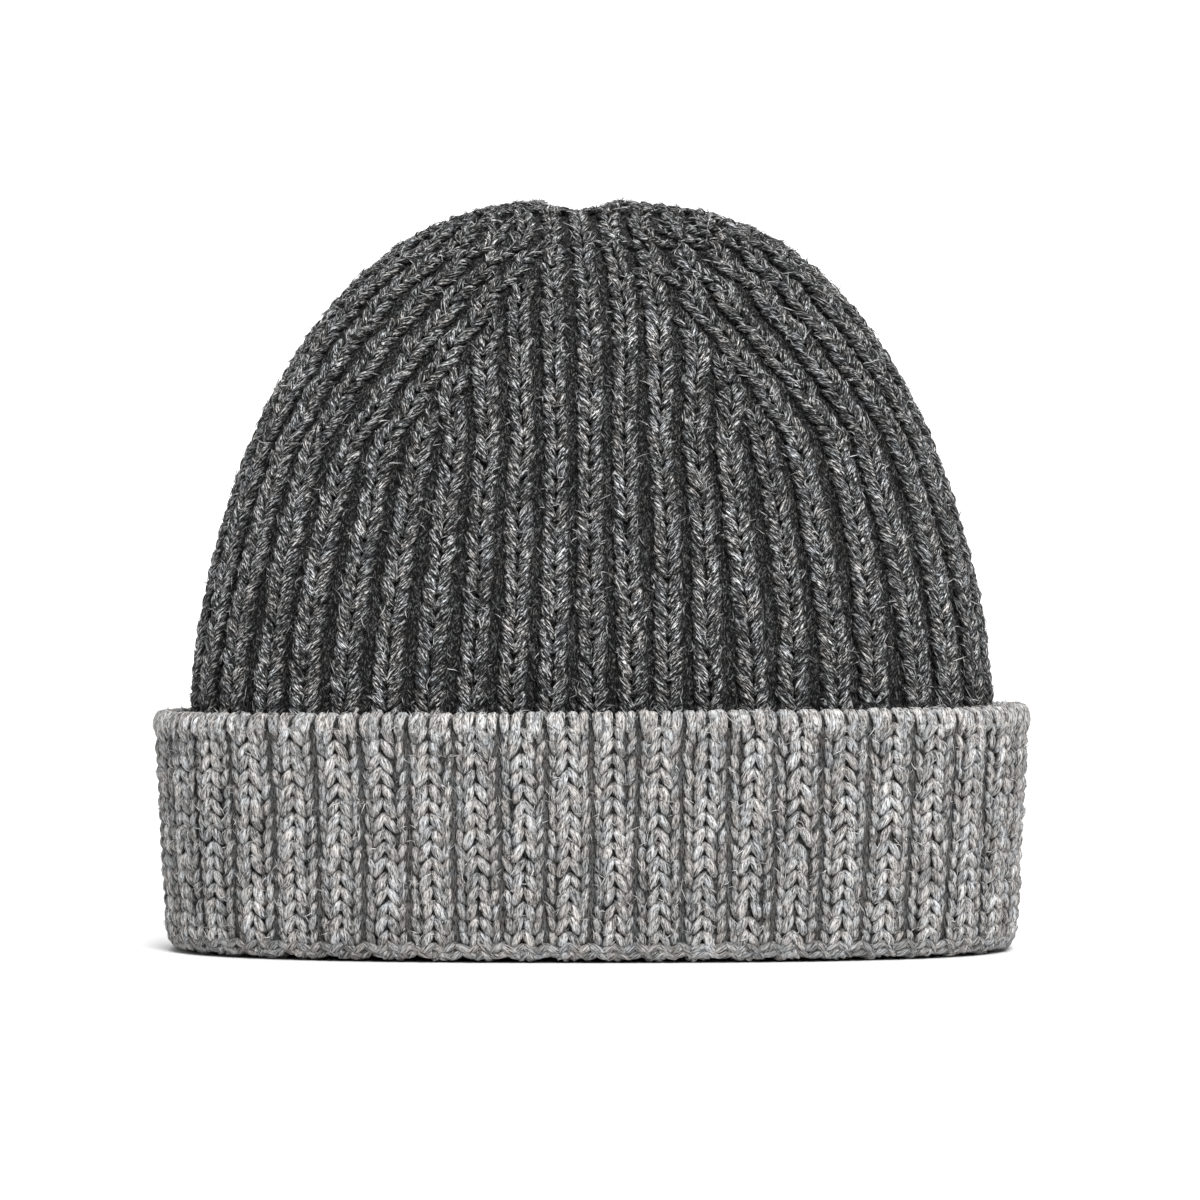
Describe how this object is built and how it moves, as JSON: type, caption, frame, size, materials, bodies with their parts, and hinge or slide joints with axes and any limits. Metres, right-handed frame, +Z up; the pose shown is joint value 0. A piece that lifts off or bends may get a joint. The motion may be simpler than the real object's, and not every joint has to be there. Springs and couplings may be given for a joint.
{
  "type": "knit beanie",
  "caption": "Two-tone rib-knit beanie with a deep turned-up cuff and a gathered crown, open at the rim for a head.",
  "frame": {"origin": "on the ground, in the middle of the head opening; the hat stands on the fold of its cuff", "axes": "+Z up to the gathered top, -Y the front, +X the viewer's right"},
  "size_m": [0.2204, 0.1264, 0.189],
  "materials": {
    "charcoal_knit": "melange wool rib knit, charcoal",
    "light_grey_knit": "melange wool rib knit, light grey",
    "charcoal_yarn": "plied wool yarn, charcoal",
    "light_grey_yarn": "plied wool yarn, light grey",
    "label_cloth": "woven satin ribbon, blank",
    "label_thread": "sewing thread"
  },
  "bodies": {
    "root": {"crown_body": "charcoal_knit", "cuff_facing": "light_grey_knit", "cuff_fold": "light_grey_knit", "cuff_turnup": "light_grey_knit", "cuff_cast_on_edge": "light_grey_knit", "crown_seam": "charcoal_yarn", "cuff_seam": "light_grey_yarn", "gather_yarn": "charcoal_yarn", "care_label": "label_cloth", "label_thread": "label_thread"}
  },
  "joints": []
}
